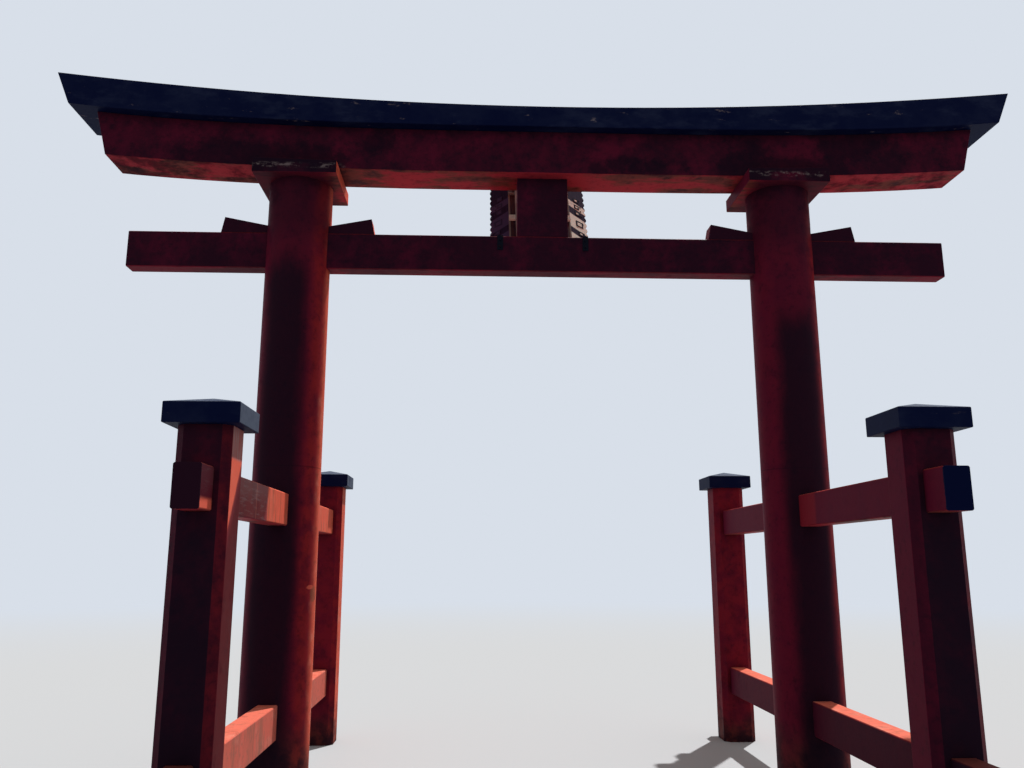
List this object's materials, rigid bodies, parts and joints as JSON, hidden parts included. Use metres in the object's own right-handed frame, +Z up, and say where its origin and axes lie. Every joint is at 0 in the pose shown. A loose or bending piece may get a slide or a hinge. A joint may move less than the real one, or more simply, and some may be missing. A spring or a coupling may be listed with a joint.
{
  "type": "torii gate",
  "caption": "Shrine gate with round pillars, an upturned black top beam, a wedged tie beam, a leaning plaque and sleeve posts tied to the pillars.",
  "frame": {"origin": "on the ground, midway between the two pillars", "axes": "+X along the beams, to the right as the picture shows the gate; +Y through the gate, away from the picture's viewer and towards the plaque's face; +Z up"},
  "size_m": [8.3668, 4.896, 5.9194],
  "materials": {
    "vermilion_paint": "semi-gloss vermilion paint on cast concrete",
    "black_paint": "semi-gloss black paint on cast concrete",
    "plaque_brown": "dark brown stained wood",
    "plaque_cream": "pale weathered wood with dark painted bands",
    "black_iron": "black painted wrought iron"
  },
  "bodies": {
    "root": {"pillar_left": "vermilion_paint", "pillar_right": "vermilion_paint", "capital_left": "vermilion_paint", "capital_right": "vermilion_paint", "lower_lintel": "vermilion_paint", "top_beam": "black_paint", "tie_beam": "vermilion_paint", "centre_strut": "vermilion_paint", "wedge_left_outer": "vermilion_paint", "wedge_left_inner": "vermilion_paint", "wedge_right_inner": "vermilion_paint", "wedge_right_outer": "vermilion_paint", "post_front_left": "vermilion_paint", "post_front_right": "vermilion_paint", "post_rear_left": "vermilion_paint", "post_rear_right": "vermilion_paint", "post_cap_front_left": "black_paint", "post_cap_front_right": "black_paint", "post_cap_rear_left": "black_paint", "post_cap_rear_right": "black_paint", "upper_tie_left": "vermilion_paint", "upper_tie_right": "vermilion_paint", "lower_tie_left": "vermilion_paint", "lower_tie_right": "vermilion_paint", "plaque_board": "plaque_brown", "plaque_frame_left": "plaque_cream", "plaque_frame_right": "plaque_cream", "plaque_frame_top": "plaque_cream", "plaque_frame_bottom": "plaque_cream", "plaque_crosspiece_upper": "plaque_cream", "plaque_crosspiece_lower": "plaque_cream", "plaque_stile_left": "plaque_cream", "plaque_stile_right": "plaque_cream", "plaque_stay_left": "black_iron", "plaque_stay_right": "black_iron", "strap_left": "black_iron", "strap_right": "black_iron"}
  },
  "joints": []
}
